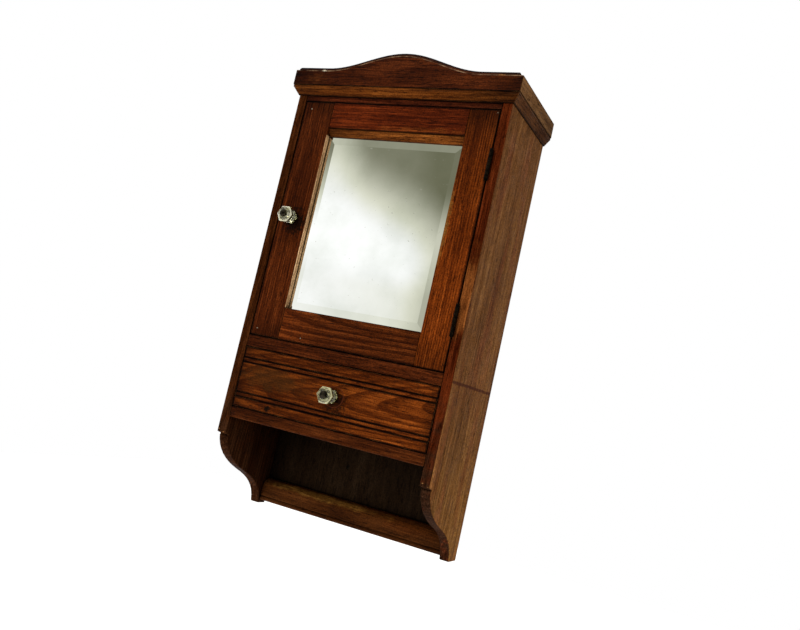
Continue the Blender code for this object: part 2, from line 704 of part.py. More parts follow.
def catch(parent):
    """Spring clip on the left side board, and the stud on the door that it grips."""
    half = CATCH_WIDTH / 2
    mouth, back = CATCH_SPAN
    jaw = CATCH_GAPE + CATCH_THICK
    spine = back + CATCH_THICK
    outline = [(mouth + 1, CATCH_Z - CATCH_GAPE), (mouth, CATCH_Z - jaw), (spine, CATCH_Z - jaw),
               (spine, CATCH_Z + jaw), (mouth, CATCH_Z + jaw), (mouth + 1, CATCH_Z + CATCH_GAPE),
               (back, CATCH_Z + CATCH_GAPE), (back, CATCH_Z - CATCH_GAPE)]
    clip = piece("catch_clip", prism(outline, "x", CATCH_X - half, CATCH_X + half), "old_brass")
    wall = -INNER_HALF + FIT
    weld(clip, block(wall, CATCH_X, back, spine, CATCH_Z - jaw + 0.1, CATCH_Z + jaw - 0.1))
    weld(clip, block(wall, wall + 1.0, back - 4, back + 14, CATCH_Z - 7, CATCH_Z + 7))
    foot = DOOR_THICK + FIT
    plate = block(CATCH_X - 5, CATCH_X + 5, foot, foot + 1.5, CATCH_Z - 9, CATCH_Z + 9)
    stud = piece("catch_stud", plate, "old_brass", parent)
    pin = [(foot + 0.7, STUD_R), (STUD_TIP - 1, STUD_R), (STUD_TIP, STUD_R * 0.65)]
    weld(stud, turned(pin, "y", (CATCH_X, CATCH_Z), sides=16))


# ---------------------------------------------------------------- drawer
def reeded_face():
    """Front face of the drawer from bottom to top: two bands, each a bead between two grooves."""
    depth, half = 1.5, 1.1
    points = [(0.0, DRAWER_BOTTOM)]
    for low in REED_HEIGHTS:
        high = low + REED_PITCH
        points += [(0.0, low - half), (depth, low)]
        bead_half = REED_PITCH / 2 - 0.8
        centre = (low + high) / 2
        for step in range(5):
            angle = pi * (step / 4 - 0.5)
            points.append((0.9 * (1 - cos(angle)), centre + bead_half * sin(angle)))
        points += [(depth, high), (0.0, high + half)]
    return points + [(0.0, DRAWER_TOP)]


def drawer(parent):
    thick = DRAWER_FRONT_THICK
    groove_y = thick - GROOVE_DEPTH - 1
    outline = reeded_face() + [(thick, DRAWER_TOP), (thick, GROOVE_TOP), (groove_y, GROOVE_TOP),
                               (groove_y, GROOVE_BOTTOM), (thick, GROOVE_BOTTOM), (thick, DRAWER_BOTTOM)]
    front = piece("drawer_front", prism(outline, "x", -DRAWER_HALF, DRAWER_HALF), "stained_wood", parent)
    for side, sign in (("left", -1), ("right", 1)):
        groove_x = DRAWER_SIDE_IN + GROOVE_DEPTH
        section = [(DRAWER_SIDE_IN, DRAWER_SIDE_TOP), (DRAWER_SIDE_OUT, DRAWER_SIDE_TOP),
                   (DRAWER_SIDE_OUT, DRAWER_RUN), (DRAWER_SIDE_IN, DRAWER_RUN),
                   (DRAWER_SIDE_IN, GROOVE_BOTTOM), (groove_x, GROOVE_BOTTOM),
                   (groove_x, GROOVE_TOP), (DRAWER_SIDE_IN, GROOVE_TOP)]
        mirrored = [(sign * x, z) for x, z in section]
        piece(f"drawer_side_{side}", prism(mirrored, "y", thick + FIT, DRAWER_BACK_Y), "inner_wood", parent)
    bottom_half = DRAWER_SIDE_IN + GROOVE_DEPTH - FIT
    bottom = block(-bottom_half, bottom_half, groove_y + FIT, DRAWER_BACK_Y - FIT,
                   GROOVE_BOTTOM + FIT, GROOVE_TOP - FIT)
    piece("drawer_bottom", bottom, "backing_wood", parent)
    back_half = DRAWER_SIDE_IN - FIT
    back = block(-back_half, back_half, DRAWER_BACK_Y - DRAWER_BACK_THICK, DRAWER_BACK_Y,
                 GROOVE_TOP + FIT, DRAWER_SIDE_TOP - 4)
    piece("drawer_back", back, "inner_wood", parent, ease=EASE)
    knob("drawer_knob", KNOB_DRAWER, front, thick, parent)


# ---------------------------------------------------------------- assembly
def clear_scene():
    for item in list(bpy.data.objects):
        bpy.data.objects.remove(item, do_unlink=True)


def build():
    clear_scene()
    right_side = carcass()
    crown_mouldings()
    crown_front_board()
    crown_returns()
    door = pivot("door_pivot", HINGE_X, HINGE_Y, (DOOR_BOTTOM + DOOR_TOP) / 2)
    stile_left, stile_right = door_frame(door)
    mirror(door)
    mirror_top_strip(door)
    backing_beads(door)
    hinges(right_side, stile_right, door)
    knob("door_knob", KNOB_DOOR, stile_left, DOOR_THICK, door)
    catch(door)
    slide = pivot("drawer_slide", 0, 0, (DRAWER_BOTTOM + DRAWER_TOP) / 2)
    drawer(slide)


build()
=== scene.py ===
"""Looks of the wall-hung medicine cabinet: woods, glass, metal, door pins, light and camera."""
from math import cos, pi, radians, sin

import bmesh
import bpy
from mathutils import Matrix, Vector


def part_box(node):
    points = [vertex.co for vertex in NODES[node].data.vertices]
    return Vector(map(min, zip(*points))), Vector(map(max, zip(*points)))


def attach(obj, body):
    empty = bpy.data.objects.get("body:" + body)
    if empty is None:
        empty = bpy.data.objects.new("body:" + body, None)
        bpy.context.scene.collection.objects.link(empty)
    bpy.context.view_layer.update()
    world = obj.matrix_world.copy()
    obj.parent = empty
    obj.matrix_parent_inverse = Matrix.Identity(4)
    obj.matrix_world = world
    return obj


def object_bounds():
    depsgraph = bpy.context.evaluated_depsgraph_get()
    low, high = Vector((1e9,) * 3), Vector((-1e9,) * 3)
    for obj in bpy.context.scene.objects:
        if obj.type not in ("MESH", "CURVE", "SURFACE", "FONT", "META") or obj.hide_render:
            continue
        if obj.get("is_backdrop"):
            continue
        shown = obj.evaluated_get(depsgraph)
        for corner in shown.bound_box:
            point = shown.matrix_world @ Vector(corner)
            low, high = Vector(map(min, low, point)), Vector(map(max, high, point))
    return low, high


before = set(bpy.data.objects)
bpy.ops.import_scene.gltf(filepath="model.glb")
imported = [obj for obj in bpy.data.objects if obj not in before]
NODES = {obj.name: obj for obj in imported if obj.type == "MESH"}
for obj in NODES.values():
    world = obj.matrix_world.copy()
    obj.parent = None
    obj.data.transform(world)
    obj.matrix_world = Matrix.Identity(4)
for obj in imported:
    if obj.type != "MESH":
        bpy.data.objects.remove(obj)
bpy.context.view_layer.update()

AXES = "xyz"
SIDES = (("left", -1), ("right", 1))


# ---------------------------------------------------------------- boxes of the CAD nodes
def middle_of(name):
    low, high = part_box(name)
    return (low + high) / 2


def union(names):
    """The box round several nodes."""
    boxes = [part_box(name) for name in names]
    low = Vector([min(box[0][i] for box in boxes) for i in range(3)])
    high = Vector([max(box[1][i] for box in boxes) for i in range(3)])
    return low, high


# ---------------------------------------------------------------- node helpers
def srgb(red, green, blue):
    """Display colour, 0 to 255, as linear light with alpha."""
    channels = []
    for value in (red, green, blue):
        value /= 255
        channels.append(value / 12.92 if value <= 0.04045 else ((value + 0.055) / 1.055) ** 2.4)
    return (*channels, 1.0)


def node(tree, kind, inputs=None, **settings):
    """Add a node; an input's value is a number, a colour or another node's output."""
    item = tree.nodes.new("ShaderNode" + kind)
    for key, value in settings.items():
        setattr(item, key, value)
    for key, value in (inputs or {}).items():
        if isinstance(value, bpy.types.NodeSocket):
            tree.links.new(value, item.inputs[key])
        else:
            item.inputs[key].default_value = value
    return item


def calc(tree, operation, first, second=0.5, clamp=False):
    return node(tree, "Math", {0: first, 1: second}, operation=operation, use_clamp=clamp).outputs[0]


def plus(tree, first, second):
    return calc(tree, "ADD", first, second)


def minus(tree, first, second, clamp=False):
    return calc(tree, "SUBTRACT", first, second, clamp)


def times(tree, first, second):
    return calc(tree, "MULTIPLY", first, second)


def span(tree, value, low, high, to_low=0.0, to_high=1.0, smooth=True):
    """Map low..high to to_low..to_high, clamped."""
    inputs = {"Value": value, "From Min": low, "From Max": high, "To Min": to_low, "To Max": to_high}
    kind = "SMOOTHSTEP" if smooth else "LINEAR"
    return node(tree, "MapRange", inputs, interpolation_type=kind).outputs[0]


def vector(tree, operation, first, second):
    return node(tree, "VectorMath", {0: first, 1: second}, operation=operation).outputs[0]


def length(tree, value):
    return node(tree, "VectorMath", {0: value}, operation="LENGTH").outputs["Value"]


def component(tree, value, axis):
    return node(tree, "SeparateXYZ", {0: value}).outputs[AXES.index(axis)]


def mix(tree, factor, first, second, blend="MIX"):
    item = node(tree, "Mix", {0: factor, 6: first, 7: second}, data_type="RGBA", blend_type=blend)
    return item.outputs[2]


def stain(tree, colour, tone):
    """Colour multiplied by a tone."""
    return mix(tree, 1.0, colour, tone, "MULTIPLY")


def dim(tree, colour, gain):
    """Colour multiplied by the same gain in all three channels."""
    return stain(tree, colour, node(tree, "CombineColor", {0: gain, 1: gain, 2: gain}).outputs[0])


def here(tree):
    """The shaded point in the object's own coordinates."""
    return node(tree, "TexCoord").outputs["Object"]


def coordinate(tree, axis):
    return component(tree, here(tree), axis)


def distance_from(tree, axis, place):
    """Distance from the plane at one place along an axis."""
    return calc(tree, "ABSOLUTE", minus(tree, coordinate(tree, axis), place))


def shifted(tree, shift, scale=(1.0, 1.0, 1.0)):
    """The object's own coordinates, shifted and then stretched."""
    return vector(tree, "MULTIPLY", vector(tree, "ADD", here(tree), shift), scale)


def noise(tree, place, scale, detail=3.0, roughness=0.55):
    inputs = {"Vector": place, "Scale": scale, "Detail": detail, "Roughness": roughness}
    return node(tree, "TexNoise", inputs).outputs[0]


def edge_mask(tree, radius, low, high):
    """1 on the arrises, where the rounded normal leaves the face's own."""
    rounded = node(tree, "Bevel", {"Radius": radius}, samples=6).outputs[0]
    flat = node(tree, "NewGeometry").outputs["Normal"]
    match = node(tree, "VectorMath", {0: rounded, 1: flat}, operation="DOT_PRODUCT").outputs["Value"]
    return span(tree, match, high, low)


def nearness(tree, centre, low, high):
    """1 close to an axis that runs front to back through centre, 0 beyond high."""
    gap = vector(tree, "MULTIPLY", vector(tree, "SUBTRACT", here(tree), centre), (1, 0, 1))
    return span(tree, length(tree, gap), high, low)


def new_material(name):
    material = bpy.data.materials.new(name)
    material.use_nodes = True
    tree = material.node_tree
    return material, tree, tree.nodes["Principled BSDF"]


def feed(tree, shader, socket, value):
    tree.links.new(value, shader.inputs[socket])


def relief(tree, shader, height, radius, strength, distance):
    """Slightly rounded arrises and a fine bump."""
    soft = node(tree, "Bevel", {"Radius": radius}, samples=4).outputs[0]
    bump = {"Strength": strength, "Distance": distance, "Height": height, "Normal": soft}
    feed(tree, shader, "Normal", node(tree, "Bump", bump).outputs[0])


# ---------------------------------------------------------------- wood
def along_grain(tree, axis, seed, squeeze):
    """Object coordinates shifted by the seed and squeezed along the grain."""
    scale = [1.0, 1.0, 1.0]
    scale[AXES.index(axis)] = squeeze
    return shifted(tree, (0.37 * seed, 0.61 * seed + 0.2, 0.83 * seed), scale)


def shades(red, green, blue):
    """The tones of one wood, worked out from its middle colour."""
    middle = srgb(red, green, blue)

    def shade(gain, warmth):
        return (middle[0] * gain, middle[1] * gain * warmth, middle[2] * gain * warmth ** 2, 1.0)

    return {"dark": shade(0.38, 0.84), "mid": middle, "light": shade(1.9, 1.12), "pore": shade(0.12, 0.8)}


RED = shades(88, 34, 11)
MAROON = shades(66, 31, 10)
FADED = shades(102, 70, 40)
UMBER = shades(72, 41, 18)
# Dark tone of the inside pieces, partly painted shade.
GLOOMY = shades(44, 24, 12)
RAW = shades(134, 104, 72)
WORN = srgb(150, 100, 60)
BARE = srgb(160, 112, 66)
GOLDEN = srgb(128, 82, 34)
# Near-black for dirt, and for the painted shadow beside the knobs.
DIRT_AND_SHADOW = srgb(12, 7, 4)


def growth_rings(tree, axis, pith, lean, gap, warp, seed):
    """Dark late wood of the growth rings round a leaning pith line, 0 to 1."""
    turn = [lean, lean, lean]
    turn[AXES.index(axis)] = 0.0
    across = [1.0, 1.0, 1.0]
    across[AXES.index(axis)] = 0.0
    place = vector(tree, "SUBTRACT", here(tree), pith)
    place = node(tree, "Mapping", {"Vector": place, "Rotation": turn}).outputs[0]
    radius = length(tree, vector(tree, "MULTIPLY", place, across))
    wander = noise(tree, along_grain(tree, axis, seed, 0.16), 13, detail=2)
    radius = plus(tree, radius, times(tree, wander, warp))
    phase = calc(tree, "FRACT", calc(tree, "DIVIDE", radius, gap))
    return times(tree, span(tree, phase, 0.25, 0.9), span(tree, phase, 1.0, 0.93))


def wood_colour(tree, axis, tones, seed, pith, lean=0.03, gap=0.006, warp=0.032, figure=0.5,
                mottle=1.0, crisp=1.0):
    """Colour of planed, stained wood and the height of its surface."""
    streaks = noise(tree, along_grain(tree, axis, seed, 0.05), 60, detail=4, roughness=0.6)
    threads = noise(tree, along_grain(tree, axis, seed + 1, 0.035), 430, detail=4, roughness=0.65)
    clouds = noise(tree, along_grain(tree, axis, seed + 2, 0.5), 16, detail=3)
    rings = growth_rings(tree, axis, pith, lean, gap, warp, seed)
    specks = noise(tree, along_grain(tree, axis, seed + 3, 0.07), 1100, detail=1)
    pores = span(tree, plus(tree, specks, times(tree, rings, 0.05)), 0.60, 0.68)

    thread_share, cloud_share, reach = 2.3 * crisp, 1.2 * mottle, 0.55
    tone = plus(tree, streaks, times(tree, threads, thread_share))
    tone = plus(tree, tone, times(tree, clouds, cloud_share))
    middle = (1.0 + thread_share + cloud_share) / 2
    ramp = node(tree, "ValToRGB", {0: span(tree, tone, middle - reach, middle + reach, smooth=False)})
    stops = ramp.color_ramp.elements
    stops[0].position, stops[0].color = 0.1, tones["dark"]
    stops[1].position, stops[1].color = 0.92, tones["light"]
    stops.new(0.5).color = tones["mid"]
    colour = mix(tree, times(tree, rings, figure), ramp.outputs[0], tones["dark"])
    colour = mix(tree, times(tree, pores, 0.8), colour, tones["pore"])
    height = minus(tree, times(tree, threads, 0.6), pores)
    return colour, height


def finish_wood(tree, shader, colour, height, seed, wear, hollow_shade, dull, sheen):
    """Grit, worn arrises, painted shade in the corners and deep hollows, roughness and relief."""
    grit = noise(tree, along_grain(tree, "x", seed + 4, 1.0), 560, detail=2, roughness=0.7)
    colour = dim(tree, colour, span(tree, grit, 0.32, 0.68, 0.68, 1.34))
    patch = noise(tree, along_grain(tree, "x", seed, 1.0), 45, detail=4)
    worn = times(tree, edge_mask(tree, 0.0012, 0.72, 0.985), span(tree, patch, 0.44, 0.62))
    colour = mix(tree, times(tree, worn, wear), colour, WORN)
    # Painted shade: a short occlusion darkens crevices and corners, and a long one darkens deep hollows.
    crevice_shade = node(tree, "AmbientOcclusion", {"Distance": 0.009}, samples=6).outputs["AO"]
    colour = dim(tree, colour, span(tree, crevice_shade, 0.2, 0.9, 0.2, 1.0))
    if hollow_shade:
        hollow = node(tree, "AmbientOcclusion", {"Distance": 0.16}, samples=6).outputs["AO"]
        colour = dim(tree, colour, span(tree, hollow, 0.15, 0.8, 1.0 - hollow_shade, 1.0))
    feed(tree, shader, "Base Color", colour)
    feed(tree, shader, "Roughness", span(tree, patch, 0.3, 0.7, 0.40 + dull, 0.62 + dull))
    shader.inputs["Specular IOR Level"].default_value = sheen
    relief(tree, shader, height, radius=0.0006, strength=0.6, distance=0.0004)


def dress(names, material):
    """Give CAD nodes a material in every slot."""
    for name in names:
        slots = NODES[name].data.materials
        slots.clear()
        slots.append(material)


def wood(name, axis, tones, seed, pith=(0.012, 0.06, 0), wear=0.6, hollow_shade=0.0, dull=0.0, sheen=0.02,
         marks=(), **figure):
    """Dress one board; the pith's place is given from the board's middle."""
    material, tree, shader = new_material(name + "_wood")
    colour, height = wood_colour(tree, axis, tones, seed, middle_of(name) + Vector(pith), **figure)
    for mark in marks:
        colour = mark(tree, colour)
    finish_wood(tree, shader, colour, height, seed, wear, hollow_shade, dull, sheen)
    dress([name], material)


# ---------------------------------------------------------------- marks painted on the woods
def darken(tree, colour, amount, strength):
    return dim(tree, colour, minus(tree, 1.0, times(tree, amount, strength)))


def ends(name, axis, reach, strength):
    """Board darker towards both ends."""
    low, high = (corner[AXES.index(axis)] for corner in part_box(name))
    half = (high - low) / 2 + 0.01

    def paint(tree, colour):
        ragged = noise(tree, shifted(tree, (0.1, 0.3, 0.2)), 30, detail=3)
        offset = plus(tree, distance_from(tree, axis, (low + high) / 2), times(tree, ragged, 0.02))
        return darken(tree, colour, span(tree, offset, half - reach, half), strength)

    return paint


def seam(low, high, reach=0.0030, strength=0.85):
    """Dirt and painted shade along the joint round a door or drawer front, on both sides of it."""
    middle, half = (low + high) / 2, (high - low) / 2

    def paint(tree, colour):
        outside = []
        for i, axis in ((0, "x"), (2, "z")):
            outside.append(minus(tree, distance_from(tree, axis, middle[i]), half[i]))
        gap = calc(tree, "ABSOLUTE", calc(tree, "MAXIMUM", *outside))
        ragged = noise(tree, shifted(tree, (0.3, 0.3, 0.1)), 120, detail=2)
        gap = plus(tree, gap, times(tree, ragged, 0.001))
        front = span(tree, coordinate(tree, "y"), low.y + 0.004, low.y + 0.001)
        line = times(tree, span(tree, gap, reach, reach * 0.4), front)
        return darken(tree, colour, line, strength)

    return paint


def stripe(axis, place, half_width, strength, front=None):
    """Dark line across a board at one place, if asked only on its front face."""

    def paint(tree, colour):
        line = span(tree, distance_from(tree, axis, place), half_width, half_width * 0.35)
        if front is not None:
            face = span(tree, coordinate(tree, "y"), front + 0.004, front + 0.003)
            line = times(tree, line, face)
        return darken(tree, colour, line, strength)

    return paint


def grade(axis, start, end, start_gain, end_gain):
    """Colour brighter or darker steadily from one place to another."""

    def paint(tree, colour):
        gain = span(tree, coordinate(tree, axis), start, end, start_gain, end_gain, smooth=False)
        return dim(tree, colour, gain)

    return paint


def blot(centre, size, tone, strength, grain=120, blend="MIX"):
    """Soft ragged patch of another tone, its half sizes given along x, y and z."""

    def paint(tree, colour):
        place = vector(tree, "DIVIDE", vector(tree, "SUBTRACT", here(tree), centre), size)
        ragged = minus(tree, noise(tree, shifted(tree, (0.6, 0.2, 0.4)), grain, detail=3), 0.5)
        distance = plus(tree, length(tree, place), times(tree, ragged, 1.6))
        return mix(tree, times(tree, span(tree, distance, 1.0, 0.35), strength), colour, tone, blend)

    return paint


def cast(centre, size, tone, grain=120):
    """Soft ragged patch that multiplies the wood's own colour by a tone."""
    return blot(centre, size, (*tone, 1.0), 1.0, grain, "MULTIPLY")


def ring_mark(centre, radius):
    """Thin circle left in the finish by an old backplate."""

    def paint(tree, colour):
        outside = nearness(tree, centre, radius, radius + 0.0008)
        inside = nearness(tree, centre, radius - 0.0014, radius - 0.0006)
        line = minus(tree, outside, inside, clamp=True)
        return mix(tree, times(tree, line, 0.6), colour, srgb(96, 44, 26))

    return paint


def bare_reveal(edge, low, high):
    """Raw light wood on the stile's inner edge beside the glass, with painted shade at its foot."""
    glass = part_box("mirror")[0].y

    def paint(tree, colour):
        raw, _ = wood_colour(tree, "z", shades(206, 160, 116), 8.8, Vector((0, 0.2, 0)),
                             figure=0.15, mottle=0.3)
        raw = darken(tree, raw, span(tree, coordinate(tree, "y"), glass - 0.0010, glass - 0.0005), 0.8)
        skin = span(tree, coordinate(tree, "x"), edge - 0.0008, edge - 0.0004)
        above = span(tree, coordinate(tree, "z"), low, low + 0.001)
        below = span(tree, coordinate(tree, "z"), high, high - 0.001)
        return mix(tree, times(tree, skin, times(tree, above, below)), colour, raw)

    return paint


def faded_face(tree, sign, foot):
    """Faded wood with painted light making it golden towards the foot, with red and grey veils and fine
    scratches.
    """
    colour, _ = wood_colour(tree, "z", shades(107, 68, 35), 3.1 + sign, Vector((0.25, 0.1, 0)),
                            lean=0.01, gap=0.0034, warp=0.012, figure=0.3, mottle=0.3, crisp=0.7)
    # Painted light: lighter and more golden towards the foot.
    rise = span(tree, coordinate(tree, "z"), foot, foot + 0.3)
    colour = stain(tree, colour, mix(tree, rise, (1.22, 1.27, 1.0, 1), (1.0, 1.0, 1.0, 1)))
    red_veil = span(tree, noise(tree, along_grain(tree, "z", 4.4 + sign, 0.22), 34, detail=4), 0.46, 0.66)
    colour = mix(tree, red_veil, colour, (1.02, 0.86, 0.98, 1), "MULTIPLY")
    grey_veil = span(tree, noise(tree, along_grain(tree, "z", 9.1 + sign, 0.3), 20, detail=3), 0.48, 0.68)
    colour = mix(tree, grey_veil, colour, (0.87, 0.89, 0.95, 1), "MULTIPLY")
    hairs = span(tree, noise(tree, along_grain(tree, "z", 7.7, 0.03), 900, detail=1), 0.70, 0.74)
    where = span(tree, noise(tree, along_grain(tree, "z", 2.2, 0.6), 22, detail=2), 0.55, 0.62)
    scratch = times(tree, times(tree, hairs, where), 0.7)
    return mix(tree, scratch, colour, srgb(176, 132, 84))


def stain_line(tree, colour, height):
    """Wavering dark line at one height."""
    wobble = noise(tree, shifted(tree, (0.5, 0.1, 0.1), (1, 1, 0)), 60, detail=2)
    level = plus(tree, height - 0.001, times(tree, wobble, 0.002))
    line = span(tree, distance_from(tree, "z", level), 0.0028, 0.0012)
    return mix(tree, times(tree, line, 0.75), colour, srgb(56, 24, 16))


def outer_fade(sign, height):
    """Side boards: the outer face is faded and has a stain line at one height."""
    low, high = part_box("right_side")

    def paint(tree, colour):
        faded = stain_line(tree, faded_face(tree, sign, low.z), height)
        outwards = times(tree, coordinate(tree, "x"), sign)
        return mix(tree, span(tree, outwards, high.x - 0.0009, high.x - 0.0004), colour, faded)

    return paint


def dusty_top(height):
    """Unfinished, dusty wood on an upper face."""

    def paint(tree, colour):
        dust, _ = wood_colour(tree, "x", shades(92, 72, 54), 6.1, Vector((0, 0.1, 0)),
                              figure=0.2, mottle=0.8)
        return mix(tree, span(tree, coordinate(tree, "z"), height - 0.0008, height - 0.0003), colour, dust)

    return paint


PEDIMENT_CENTRE = -0.003
PEDIMENT_HALF = 0.122
PEDIMENT_RISE = 0.0245
CROWN_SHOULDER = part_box("crown_return_left")[1].z


def crest(tree, colour):
    """Crown board: painted shade on the upward-facing moulded top edge, and a worn line along the arris
    below it.
    """
    upward = component(tree, node(tree, "NewGeometry").outputs["Normal"], "z")
    colour = darken(tree, colour, span(tree, upward, 0.1, 0.3), 0.85)
    reach = calc(tree, "DIVIDE", distance_from(tree, "x", PEDIMENT_CENTRE), PEDIMENT_HALF)
    swell = plus(tree, calc(tree, "COSINE", times(tree, calc(tree, "MINIMUM", reach, 1.0), pi)), 1.0)
    arris = plus(tree, times(tree, swell, PEDIMENT_RISE / 2), CROWN_SHOULDER)
    below = minus(tree, arris, coordinate(tree, "z"))
    line = times(tree, span(tree, below, 0.0014, 0.0008), span(tree, below, -0.0008, -0.0002))
    rubbed = noise(tree, shifted(tree, (0.3, 0.0, 0.0), (1, 0, 0)), 48, detail=4)
    rubbed = span(tree, rubbed, 0.38, 0.66)
    return mix(tree, times(tree, line, rubbed), colour, srgb(150, 120, 92))


# ---------------------------------------------------------------- the cabinet's boards
FRONT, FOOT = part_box("left_side")[0].yz
SCROLL_TOP = FOOT + 0.103
EDGE_MARKS_X = 0.163
REED_HEIGHTS = (0.1571, 0.1639, 0.2074, 0.2142)
HEAD_JOINT_DROP = 0.0085


def dress_sides(line_height, seams):
    foot_tones = {"left": (0.75, 1.0, 1.7), "right": (0.38, 0.9, 2.0)}
    tones = {"left": MAROON, "right": RED}
    for side, sign in SIDES:
        edge = sign * EDGE_MARKS_X
        marks = [cast((edge, FRONT, FOOT + 0.02), (0.05, 0.3, 0.2), foot_tones[side], grain=60)]
        if side == "right":
            marks.append(cast((edge, FRONT, FOOT + 0.35), (0.03, 0.02, 0.08), (2.4, 4.3, 4.6), grain=40))
        for x, z in ((0.004, 0.0), (-0.004, 0.003)):
            chip = (edge + x, FRONT + 0.001, SCROLL_TOP + z)
            marks.append(blot(chip, (0.0018, 0.002, 0.001), BARE, 0.9, grain=300))
        marks += [outer_fade(sign, line_height), *seams]
        wood(f"{side}_side", "z", tones[side], 1.3 + sign, wear=0.5, hollow_shade=0.93, sheen=0.004, marks=marks)


def dress_crown_front():
    low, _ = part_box("crown_front_board")
    marks = [
        ends("crown_front_board", "x", 0.05, 0.5),
        crest,
        stripe("z", low.z, 0.0018, 0.8),
        cast((-0.142, low.y, low.z + 0.010), (0.02, 0.02, 0.012), (1.7, 2.2, 2.2)),
        blot((-0.130, low.y, CROWN_SHOULDER), (0.005, 0.006, 0.0022), srgb(226, 214, 190), 0.9, grain=300),
        blot((0.149, low.y, CROWN_SHOULDER), (0.007, 0.006, 0.0016), BARE, 0.8, grain=300),
    ]
    wood("crown_front_board", "x", shades(68, 27, 7), 2.1, wear=0.5, figure=0.3, mottle=0.7, marks=marks)
    low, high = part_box("crown_moulding_front")
    marks = [
        ends("crown_moulding_front", "x", 0.12, 0.5),
        grade("x", low.x, high.x, 1.25, 0.65),
        stripe("z", high.z, 0.0012, 0.6),
        stripe("z", low.z, 0.0016, 0.8),
    ]
    wood("crown_moulding_front", "x", shades(104, 52, 14), 2.9, marks=marks)


def dress_crown_sides():
    for side, sign in SIDES:
        name = f"crown_return_{side}"
        low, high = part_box(name)
        marks = [
            grade("y", low.y, high.y, 1.5, 0.75),
            stripe("z", low.z, 0.0016, 0.7),
            stripe("z", high.z, 0.0018, 0.6),
        ]
        wood(name, "y", FADED, 4.4 + sign, dull=0.1, figure=0.1, mottle=0.4, crisp=0.5, wear=0.4,
             sheen=0.006, marks=marks)
        name = f"crown_moulding_{side}"
        low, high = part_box(name)
        marks = [grade("y", low.y, high.y, 1.1, 0.75), stripe("z", low.z, 0.0016, 0.7)]
        wood(name, "y", UMBER, 6.2 + sign, dull=0.1, figure=0.2, mottle=0.5, crisp=0.6, wear=0.4,
             marks=marks)


def dress_rails(door_seam, drawer_seam):
    """The boards whose front edges show between door, drawer and niche."""
    low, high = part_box("top_board")
    marks = [
        door_seam,
        stripe("z", high.z - HEAD_JOINT_DROP, 0.0022, 0.85, low.y),
        ends("top_board", "x", 0.04, 0.4),
        dusty_top(high.z),
    ]
    wood("top_board", "x", shades(80, 32, 12), 5.3, hollow_shade=0.8, marks=marks)
    low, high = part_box("divider_board")
    marks = [grade("x", low.x, high.x, 1.0, 1.3), door_seam, drawer_seam]
    wood("divider_board", "x", shades(76, 32, 9), 7.7, hollow_shade=0.8, marks=marks)
    wood("drawer_floor_board", "x", shades(72, 31, 8), 8.6, hollow_shade=0.8, marks=[drawer_seam])


def dress_bottom_rail():
    low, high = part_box("bottom_rail")
    # Painted light: a golden highlight along the rounded top, partly bare worn wood, and painted shade
    # darker towards the foot.
    golden = Vector((-0.05, low.y + 0.008, high.z - 0.006))
    marks = [
        cast(golden, (0.13, 0.014, 0.0075), (2.4, 3.6, 3.6), grain=50),
        cast(golden + Vector((0.16, 0, -0.006)), (0.06, 0.03, 0.012), (1.2, 1.1, 1.0), grain=50),
        ends("bottom_rail", "x", 0.05, 0.3),
        grade("z", low.z, high.z, 0.75, 1.2),
    ]
    wood("bottom_rail", "x", shades(90, 48, 18), 9.4, wear=0.3, hollow_shade=0.45, lean=0.01, figure=0.3,
         crisp=0.5, marks=marks)


def dress_inside():
    # The inside pieces' dark tones are partly painted shade.
    wood("back_panel", "z", shades(40, 26, 14), 4.9, hollow_shade=0.94, dull=0.15, figure=0.1, mottle=0.5,
         crisp=0.2)
    wood("shelf", "x", GLOOMY, 5.6, hollow_shade=0.5, dull=0.15)
    for i, (side, _) in enumerate(SIDES):
        wood(f"shelf_batten_{side}", "y", GLOOMY, 7.1 + i, dull=0.15)
        wood(f"drawer_stop_{side}", "x", GLOOMY, 2.6 + i, dull=0.15)


def dress_stiles(door_seam):
    low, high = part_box("door_stile_left")
    knob = middle_of("door_knob")
    marks = [
        grade("z", low.z, high.z, 1.1, 0.8),
        # Dirt and the knob's painted shadow, right of and below it.
        blot((knob.x + 0.006, low.y, knob.z - 0.004), (0.024, 0.02, 0.026), DIRT_AND_SHADOW, 0.9, grain=260),
        ends("door_stile_left", "z", 0.03, 0.4),
        door_seam,
        bare_reveal(high.x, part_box("door_rail_bottom")[1].z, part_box("mirror_top_strip")[0].z),
    ]
    wood("door_stile_left", "z", shades(84, 35, 9), 3.7, pith=(-0.11, 0.06, 0), lean=0.01, gap=0.0036,
         warp=0.014, mottle=0.8, marks=marks)
    low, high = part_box("door_stile_right")
    marks = [
        grade("z", low.z + 0.16, high.z, 1.05, 0.5),
        blot((low.x, low.y, low.z + 0.19), (0.0065, 0.006, 0.075), GOLDEN, 0.8, grain=240),
        ends("door_stile_right", "z", 0.05, 0.5),
        door_seam,
    ]
    wood("door_stile_right", "z", shades(116, 50, 10), 5.9, pith=(0.12, 0.05, 0), lean=0.008, gap=0.0032,
         warp=0.012, figure=0.65, mottle=0.7, marks=marks)


